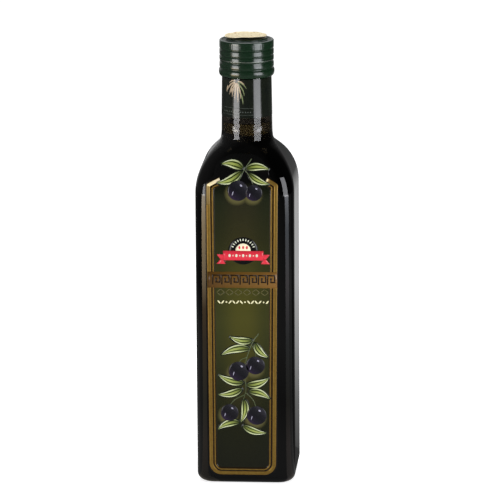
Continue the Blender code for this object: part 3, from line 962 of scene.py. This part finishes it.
# The olive sprigs: plain leaves and ripe olives on thin stems, one small sprig on the shoulder
# and a long one in the lower panel. Each leaf has a darker shade behind it.
# Each leaf is (base x, base z, tip x, tip z, bend, half-width) in mm.
LEAVES = (
    (1.2, 190.8, 14.6, 190.6, 1.4, 2.0),
    (-0.4, 191.0, -13.2, 193.4, -1.4, 2.3),
    (-1.6, 189.6, -15.6, 183.2, 1.8, 2.3),
    (3.0, 188.4, 14.8, 182.6, -1.2, 1.9),
    (4.8, 88.6, -8.6, 90.6, 1.5, 2.1),
    (6.2, 87.0, 14.0, 78.4, -1.6, 2.1),
    (3.2, 83.2, -13.6, 79.4, -1.8, 2.3),
    (-0.6, 62.8, -15.4, 67.2, 1.5, 2.2),
    (0.8, 61.4, 14.2, 65.6, -1.6, 2.2),
    (-1.6, 59.0, -15.8, 55.2, 1.4, 2.1),
    (2.2, 57.0, 14.6, 52.8, 1.6, 2.1),
    (-0.8, 52.4, -2.4, 38.6, 1.6, 2.1),
    (-3.2, 38.2, -16.0, 33.8, -1.6, 2.1),
    (-1.4, 36.6, 12.6, 32.0, -1.5, 2.0),
)
# Each stem is a list of (x, z) in mm, drawn as a smooth curve.
STEMS = (
    ((4.4, 196.4), (1.6, 192.6), (-0.2, 189.8), (-2.2, 185.6), (-3.2, 183.8)),
    ((0.4, 190.4), (3.6, 186.6), (5.6, 182.0)),
    ((8.4, 92.6), (5.2, 88.0), (2.6, 82.0), (0.6, 74.6), (0.2, 66.0), (0.6, 58.0), (-1.4, 50.0),
     (-2.8, 38.4)),
    ((4.2, 85.4), (6.4, 81.6), (6.6, 78.4)),
    ((1.2, 78.0), (-1.8, 76.8), (-3.2, 75.2)),
    ((0.2, 55.4), (-5.6, 52.4), (-8.6, 49.2)),
    ((0.6, 56.4), (4.6, 52.4), (6.4, 48.2)),
)
LEAF_ROWS = 20


def curve_through(points, per_span=8):
    """Smooth path in metres through points in mm."""
    spots = [Vector(p) * MM for p in points]
    spots = [2 * spots[0] - spots[1]] + spots + [2 * spots[-1] - spots[-2]]
    path = [spots[1]]
    for a, b, c, d in zip(spots, spots[1:], spots[2:], spots[3:]):
        for k in range(per_span):
            t = (k + 1) / per_span
            ends = b * (1 - t) ** 2 * (1 + 2 * t) + c * t * t * (3 - 2 * t)
            pulls = (c - a) * 0.5 * t * (1 - t) ** 2 - (d - b) * 0.5 * t * t * (1 - t)
            path.append(ends + pulls)
    return path


def leaf(base_x, base_z, tip_x, tip_z, bend, half, grow=0.0):
    """Grid for a lance-shaped leaf with its middle bent to one side, its sizes in mm."""
    base = Vector((base_x, base_z))
    tip = Vector((tip_x, tip_z))
    along = (tip - base).normalized()
    aside = Vector((-along.y, along.x))
    spine = []
    widths = []
    for k in range(LEAF_ROWS + 1):
        t = k / LEAF_ROWS
        spot = base.lerp(tip, t) + aside * (bend * 4 * t * (1 - t)) + along * (grow * (2 * t - 1))
        spine.append(spot * MM)
        belly = math.sin(math.pi * t**0.85) ** 0.8 * (1 - 0.35 * t)
        widths.append((half * belly * 1.15 + 0.06 + grow) * MM)
    return strip(spine, widths, 10)


# Leaf inks, printed in halftone: pale edges, a yellow-green blade and dark veins along it.
leaf_ink, tree = blank_finish("offset_ink_leaf_halftone_varnished")
chart = node(tree, "UVMap", {"uv_map": "print", })
axes = node(tree, "SeparateXYZ", {"Vector": chart})
off_rib = node(tree, "Math", {"operation": "ABSOLUTE", 0: axes.outputs["Y"]})
stretched = node(tree, "CombineXYZ", {"X": axes.outputs["X"], "Y": axes.outputs["Y"]})
strokes = node(tree, "TexNoise", {"Vector": stretched, "Scale": 3.0, "Detail": 2.0})
wander = node(tree, "Math", {"operation": "MULTIPLY_ADD", 0: strokes, 1: 0.3, 2: off_rib})
shifted = node(tree, "Math", {"operation": "SUBTRACT", 0: wander, 1: 0.15})
blade = node(tree, "ValToRGB", {"Fac": shifted}, (
    (0.0, "#7a8344"), (0.08, "#9ca55c"), (0.2, "#a2ab62"), (0.3, "#66722e"), (0.4, "#1a260c"),
    (0.53, "#22301a"), (0.64, "#8a9558"), (0.76, "#c3c9a0"), (1.0, "#dcdfc8")))
shade = node(tree, "ValToRGB", {"Fac": axes.outputs["X"]}, (
    (0.0, "#3a4230"), (0.14, "#8d9474"), (0.4, "#dfe2c8"), (0.85, "#ffffff"), (1.0, "#a9b487")))
colour = node(tree, "Mix", {
    "data_type": "RGBA", "blend_type": "MULTIPLY", "Factor": 1.0, 6: blade, 7: shade})
shader = node(tree, "BsdfPrincipled", {"Base Color": colour, "Roughness": 0.25, "IOR": 1.5})
node(tree, "OutputMaterial", {"Surface": shader})

# Olive skin in halftone: nearly black aubergine, greyer where the light falls, violet below.
olive_ink, tree = blank_finish("offset_ink_olive_skin_halftone_varnished")
chart = node(tree, "UVMap", {"uv_map": "print", })
towards = node(tree, "VectorMath", {"operation": "DOT_PRODUCT", 0: chart, 1: (0.8, -0.45, 0.0)})
lit = node(tree, "MapRange", {"Value": towards, "From Min": -0.95, "From Max": 0.95})
skin_tone = node(tree, "ValToRGB", {"Fac": lit}, (
    (0.0, "#2b1c36"), (0.16, "#1b1524"), (0.45, "#100f15"), (0.72, "#19181e"), (0.88, "#29282f"),
    (1.0, "#16151a")))
shader = node(tree, "BsdfPrincipled", {"Base Color": skin_tone, "Roughness": 0.22, "IOR": 1.5})
node(tree, "OutputMaterial", {"Surface": shader})

shade_ink = flat_ink("offset_ink_leaf_shade_varnished", "#141c0e")
stem_ink = flat_ink("offset_ink_stem_varnished", "#4c5638")
glint_ink = flat_ink("offset_ink_glint_varnished", "#928fa0")

olives = [blob(x, z, half, half * 0.96, 0.2, rows=24, columns=12) for x, z, half in OLIVES]
glints = []
for x, z, half in OLIVES:
    glints.append(blob(x + half * 0.3, z + half * 0.5, half * 0.09, half * 0.13, -0.9))
    glints.append(blob(x - half * 0.5, z - half * 0.25, half * 0.045, half * 0.2, 0.3))
stems = []
for points in STEMS:
    path = curve_through(points)
    stems.append(strip(path, [(0.24 - 0.1 * i / len(path)) * MM for i in range(len(path))], 2))
sprigs = (
    ("sprig_leaf_shades", [leaf(*sizes, grow=0.55) for sizes in LEAVES], 2, shade_ink),
    ("sprig_stems", stems, 3, stem_ink),
    ("sprig_leaves", [leaf(*sizes) for sizes in LEAVES], 4, leaf_ink),
    ("sprig_olives", olives, 5, olive_ink),
    ("sprig_olive_glints", glints, 6, glint_ink),
)
for piece in sprigs:
    printed(*piece)

# The neck film: a sleeve of dark printed film shrunk round the neck below the cap, with a plain
# cream sprig turned a little to the left, and rows of fine dots and lines under it.
film_low, film_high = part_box("neck_label")
FILM_SURFACE = 0.25 * MM
FILM_BACK = 0.02 * MM
FILM_PULL = 7.0 * MM
FILM_SLACK = 0.02 * MM
DOT_ROW = 222.6
FINE_LINES = (224.9, 220.9)
NECK_SPRIG_TURN = math.radians(-22)
# Each stroke is (base x, base z, tip x, tip z, bend, half-width) in mm; cream ones, then sage ones.
NECK_STROKES = (
    (0.2, 241.2, -4.6, 239.4, -0.8, 0.3), (0.0, 240.6, -5.8, 235.4, -1.0, 0.42),
    (-0.2, 240.2, -4.4, 232.6, -0.8, 0.4), (0.0, 240.0, -2.4, 231.4, -0.5, 0.42),
    (0.3, 240.0, -0.6, 229.6, -0.2, 0.45), (0.6, 240.2, 1.4, 228.4, 0.3, 0.45),
    (0.8, 240.4, 3.2, 230.6, 0.6, 0.36), (1.0, 241.0, 5.4, 238.8, 0.7, 0.26),
    (-5.6, 238.0, -6.6, 234.0, -0.3, 0.4), (-1.2, 236.8, -3.2, 233.8, -0.6, 0.5),
)
NECK_SHADED_STROKES = (
    (1.2, 240.6, 6.6, 236.6, 0.9, 0.3), (1.2, 239.8, 5.4, 232.4, 0.9, 0.36),
    (1.6, 236.2, 4.6, 227.6, 0.7, 0.4),
)


film_rings = []
film_zs = [film_low.z] + steps(film_low.z, film_high.z, 30)
for lift, heights in ((FILM_SURFACE, film_zs), (FILM_BACK, film_zs[::-1])):
    film_rings += [turned_ring(neck_radius(z) + lift, z) for z in heights]

# PET film, gravure printed from behind: a green-black ground under a clear glossy face.
film_finish, tree = blank_finish("pet_film_gravure_printed")
place = node(tree, "TexCoord", {}).outputs["Object"]
pull = node(tree, "TexNoise", {"Vector": place, "Scale": 1 / FILM_PULL, "Detail": 1.0})
tone = node(tree, "ValToRGB", {"Fac": pull}, ((0.3, "#0f130f"), (0.7, "#151912")))
slack = node(tree, "Bump", {"Height": pull, "Distance": FILM_SLACK, "Strength": 1.0})
shader = node(tree, "BsdfPrincipled", {
    "Base Color": tone, "Roughness": 0.1, "IOR": 1.57, "Normal": slack})
node(tree, "OutputMaterial", {"Surface": shader})

film = skin("neck_film_sleeve", film_rings, film_finish, hoop=True)
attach(film, "root")
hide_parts("neck_label")


def on_film(x, z, lift):
    """Point over the film at height z; x is measured round it from the middle of the sprig."""
    radius = neck_radius(z) + FILM_SURFACE + lift
    angle = x / NECK_RADIUS_LOW + NECK_SPRIG_TURN
    return Vector((radius * math.sin(angle), -radius * math.cos(angle), z))


dots = []
for k in range(13):
    dots.append(blob(-9.0 + 1.5 * k, DOT_ROW, 0.3, 0.42, rows=6))
fine_lines = [bar(-10.0, 11.0, z - 0.09, z + 0.09) for z in FINE_LINES]
cream_print = flat_ink("gravure_ink_cream", "#a8957c")
green_print = flat_ink("gravure_ink_sage", "#6d7650")
grey_print = flat_ink("gravure_ink_grey", "#444a44")
neck_print = (
    ("neck_sprig_strokes", [leaf(*sizes) for sizes in NECK_STROKES], 0, cream_print),
    ("neck_sprig_shaded_strokes", [leaf(*sizes) for sizes in NECK_SHADED_STROKES], 0, green_print),
    ("neck_dots", dots, 0, grey_print),
    ("neck_fine_lines", fine_lines, 0, grey_print),
)
for piece in neck_print:
    printed(*piece, on_film, 0.0, "neck_film")

# The camera: a long lens about 2.4 m away, 13 degrees above the bottle and 4 degrees to its right,
# turned a third of a degree, as the photograph was taken.
AIM = Vector((0.0, 0.0, 132 * MM))
CAMERA_DISTANCE = 2.401
CAMERA_RISE = math.radians(12.868)
CAMERA_TURN = math.radians(4.355)
CAMERA_ROLL = math.radians(-0.356)
PIXELS_PER_METRE = 1679.26
FRAME_PIXELS = 500
AIM_PIXEL = (247.874, 257.267)

camera_data = bpy.data.cameras.new("camera")
camera_data.sensor_width = 36.0
camera_data.lens = camera_data.sensor_width * CAMERA_DISTANCE * PIXELS_PER_METRE / FRAME_PIXELS
camera_data.shift_x = 0.5 - AIM_PIXEL[0] / FRAME_PIXELS
camera_data.shift_y = AIM_PIXEL[1] / FRAME_PIXELS - 0.5
camera_data.clip_start = 0.1
camera_data.clip_end = 50.0
camera = bpy.data.objects.new("camera", camera_data)
back = Vector((
    math.sin(CAMERA_TURN) * math.cos(CAMERA_RISE),
    -math.cos(CAMERA_TURN) * math.cos(CAMERA_RISE),
    math.sin(CAMERA_RISE)))
camera.location = AIM + back * CAMERA_DISTANCE
camera.rotation_mode = "QUATERNION"
roll = Quaternion((0.0, 0.0, 1.0), CAMERA_ROLL)
camera.rotation_quaternion = (-back).to_track_quat("-Z", "Y") @ roll
bpy.context.scene.collection.objects.link(camera)
bpy.context.scene.camera = camera
bpy.context.scene.view_settings.view_transform = "Standard"

# The studio: a white floor and surround, two softboxes at the front sides and a soft lamp
# overhead. Glowing cards just under the floor, seen by the gloss alone, are a painted reflection of the lit
# floor.
FLOOR_REACH = 7.0
SURROUND_RADIUS = 6.0
ROOM_RADIUS = 5.5
ROOM_LIGHT = 0.46
# Each softbox is (name, turn from the camera in degrees, distance, width, low and high edge,
# radiance, tint).
SOFTBOXES = (
    ("left_softbox", -48.4, 0.70, 0.33, 0.06, 0.36, 5.1, "#fdfdff"),
    ("right_softbox", 47.8, 0.70, 0.42, 0.06, 0.62, 4.4, "#f8faff"),
)
# Each card is (name, first and last turn from the front in degrees, radiance, (distance, tone)
# stops); its tones paint the light and shade of the floor round the bottle.
CARDS = (
    ("left_card", -64, -31, 6.2, (
        (0.05, "#43403c"), (0.13, "#504a44"), (0.23, "#4c4a42"), (0.40, "#5e5344"),
        (0.50, "#705e48"), (0.60, "#b9a483"), (0.78, "#ddc39a"), (0.94, "#fbe8cb"),
        (1.20, "#f8f2e8"))),
    ("front_card", -31, 45, 0.3, (
        (0.03, "#b8b8b8"), (0.05, "#cfcfcf"), (0.13, "#cccccc"), (0.23, "#a8a8a8"),
        (0.39, "#d0d0d0"), (0.57, "#c1c1c1"), (0.75, "#aaaaaa"), (0.95, "#8d8d8d"))),
    ("right_card", 45, 75, 4.5, (
        (0.05, "#595654"), (0.13, "#5e5856"), (0.23, "#494844"), (0.40, "#595b5c"),
        (0.60, "#827f82"), (0.79, "#8a9097"), (0.90, "#b2b6bd"), (1.00, "#cbcfd8"),
        (1.10, "#fafaff"))),
    ("left_side_card", -125, -64, 0.3, (
        (0.05, "#d5d5d5"), (0.12, "#e3e3e3"), (0.22, "#cbcbcb"), (0.40, "#cbcbcb"),
        (0.56, "#717171"), (0.95, "#858585"))),
    ("right_side_card", 75, 102, 0.35, (
        (0.05, "#e7e7e7"), (0.13, "#eeeeee"), (0.22, "#c7c7c7"), (0.40, "#dcdcdc"),
        (0.58, "#eeeeee"), (0.76, "#9e9e9e"))),
    ("back_card", 150, 178, 0.6, (
        (0.05, "#595959"), (0.08, "#777777"), (0.17, "#959595"), (0.33, "#d3d3d3"),
        (0.51, "#f7f7f7"), (0.78, "#f1f1f1"), (0.99, "#cbcbcb"), (1.24, "#999999"))),
)
CARD_REACH = 1.3
CARD_START = 0.01
CARD_PARTS = 12
VINYL_GLOW = 0.75
SURROUND_GLOW_FOOT = 1.2
SURROUND_GLOW_TOP = 2.4
# Where the room goes dim from the left (x) and light towards the back (y), and how light it is.
ROOM_SIDE_FADE = {"From Min": -4.0, "From Max": 1.0, "To Min": 0.46, "To Max": 0.065}
ROOM_BACK_FADE = {"From Min": 3.2, "From Max": 5.2, "To Min": 0.25, "To Max": 1.6}
OVERHEAD_PLACE = Vector((0.0, 0.25, 1.0))
OVERHEAD_SIZE = 0.5
OVERHEAD_ENERGY = 4.6


def seen_by(thing, camera_rays=False, glossy=False, diffuse=False, transmission=False, shadow=False):
    """Sets which kinds of light ray meet the thing."""
    thing.visible_camera = camera_rays
    thing.visible_glossy = glossy
    thing.visible_diffuse = diffuse
    thing.visible_transmission = transmission
    thing.visible_shadow = shadow


def square(name, reach, z, finish):
    """Flat square at height z, reaching that far from the axis."""
    bm = bmesh.new()
    corners = ((-reach, -reach), (reach, -reach), (reach, reach), (-reach, reach))
    bm.faces.new([bm.verts.new((x, y, z)) for x, y in corners])
    return into_scene(name, bm, finish)


def ball(name, radius, finish):
    """Round room of that radius about the bottle."""
    bm = bmesh.new()
    bmesh.ops.create_uvsphere(bm, u_segments=48, v_segments=24, radius=radius)
    return into_scene(name, bm, finish)


def area_lamp(name, spot, facing, width, height, energy, colour="#ffffff"):
    """Flat lamp at spot that shines along facing and isn't seen by the camera."""
    light = bpy.data.lights.new(name, "AREA")
    light.shape = "RECTANGLE"
    light.size = width
    light.size_y = height
    light.energy = energy
    light.color = linear(colour)[:3]
    made = bpy.data.objects.new(name, light)
    made.location = spot
    made.rotation_mode = "QUATERNION"
    made.rotation_quaternion = facing.to_track_quat("-Z", "Y")
    made.visible_camera = False
    bpy.context.scene.collection.objects.link(made)
    return made


# Matt white vinyl, lit evenly: nearly paper white, with only a trace of shadow at the foot.
vinyl, tree = blank_finish("vinyl_white_matt")
shader = node(tree, "BsdfPrincipled", {
    "Base Color": linear("#d9d9d9"), "Roughness": 0.9, "Specular IOR Level": 0.0,
    "Emission Color": linear("#ffffff"), "Emission Strength": VINYL_GLOW})
node(tree, "OutputMaterial", {"Surface": shader})
floor = square("floor", FLOOR_REACH, 0.0, vinyl)
seen_by(floor, camera_rays=True, diffuse=True, transmission=True, shadow=True)

# A white surround that glows by itself, its glow painted bright up to 1.2 m and dim from 2.4 m.
glowing_surround_finish, tree = blank_finish("surround_white_glowing")
place = node(tree, "TexCoord", {}).outputs["Object"]
axes = node(tree, "SeparateXYZ", {"Vector": place})
upward = node(tree, "MapRange", {
    "Value": axes.outputs["Z"], "From Min": SURROUND_GLOW_FOOT, "From Max": SURROUND_GLOW_TOP,
    "To Min": 1.0, "To Max": 0.1})
glow_out = node(tree, "Emission", {"Color": linear("#ffffff"), "Strength": upward})
node(tree, "OutputMaterial", {"Surface": glow_out})
surround = ball("surround", SURROUND_RADIUS, glowing_surround_finish)
seen_by(surround, camera_rays=True, transmission=True)

# Glowing cards, a painted reflection of the lit floor: a tone for each distance from the bottle, by the side
# they lie on.
for name, first, last, radiance, stops in CARDS:
    bm = bmesh.new()
    rows = []
    for radius in (CARD_START, CARD_REACH):
        row = []
        for k in range(CARD_PARTS + 1):
            turn = math.radians(first + (last - first) * k / CARD_PARTS)
            row.append(bm.verts.new((radius * math.sin(turn), -radius * math.cos(turn), -MM)))
        rows.append(row)
    for k in range(CARD_PARTS):
        bm.faces.new((rows[0][k], rows[1][k], rows[1][k + 1], rows[0][k + 1]))
    lit, tree = blank_finish(name + "_paper")
    place = node(tree, "TexCoord", {}).outputs["Object"]
    away = node(tree, "VectorMath", {"operation": "LENGTH", 0: place})
    share = node(tree, "Math", {"operation": "DIVIDE", 0: away, 1: CARD_REACH})
    shares = [(distance / CARD_REACH, colour) for distance, colour in stops]
    # Painted light and shade of the floor, by distance from the bottle.
    painted_floor_light = node(tree, "ValToRGB", {"Fac": share}, shares)
    glow_out = node(tree, "Emission", {"Color": painted_floor_light, "Strength": radiance})
    node(tree, "OutputMaterial", {"Surface": glow_out})
    card = into_scene(name, bm, lit)
    seen_by(card, glossy=True)

# A faint painted reflection of the floor under the cards, where none of them lies.
dim_floor_reflection, tree = blank_finish("painted_floor_reflection_low_card")
glow_out = node(tree, "Emission", {"Color": linear("#ffffff"), "Strength": 0.05})
node(tree, "OutputMaterial", {"Surface": glow_out})
low_card = square("low_card", CARD_REACH, -2 * MM, dim_floor_reflection)
seen_by(low_card, glossy=True)

# A painted reflection of the rest of the room, seen by the gloss alone: a dim glow, a little lighter behind
# to the left.
room_reflection_glow, tree = blank_finish("painted_room_reflection")
place = node(tree, "TexCoord", {}).outputs["Object"]
axes = node(tree, "SeparateXYZ", {"Vector": place})
to_left = node(tree, "MapRange", {"Value": axes.outputs["X"], **ROOM_SIDE_FADE})
behind = node(tree, "MapRange", {"Value": axes.outputs["Y"], **ROOM_BACK_FADE})
both = node(tree, "Math", {"operation": "MULTIPLY", 0: to_left, 1: behind})
glow_out = node(tree, "Emission", {"Color": linear("#ffffff"), "Strength": both})
node(tree, "OutputMaterial", {"Surface": glow_out})
dim_room = ball("dim_room", ROOM_RADIUS, room_reflection_glow)
seen_by(dim_room, glossy=True)

for name, turn, distance, width, low, high, radiance, tint in SOFTBOXES:
    angle = CAMERA_TURN + math.radians(turn)
    out = Vector((math.sin(angle), -math.cos(angle), 0.0))
    spot = distance * out + Vector((0.0, 0.0, 0.5 * (low + high)))
    energy = radiance * math.pi * width * (high - low)
    area_lamp(name, spot, -out, width, high - low, energy, tint)
overhead = area_lamp(
    "overhead_lamp", OVERHEAD_PLACE, AIM - OVERHEAD_PLACE,
    OVERHEAD_SIZE, OVERHEAD_SIZE, OVERHEAD_ENERGY)
overhead.visible_glossy = False

world = bpy.data.worlds.new("room")
bpy.context.scene.world = world
world.use_nodes = True
world.node_tree.nodes["Background"].inputs["Color"].default_value = linear("#ffffff")
world.node_tree.nodes["Background"].inputs["Strength"].default_value = ROOM_LIGHT
world.cycles_visibility.camera = False
world.cycles_visibility.glossy = False
world.cycles_visibility.transmission = False
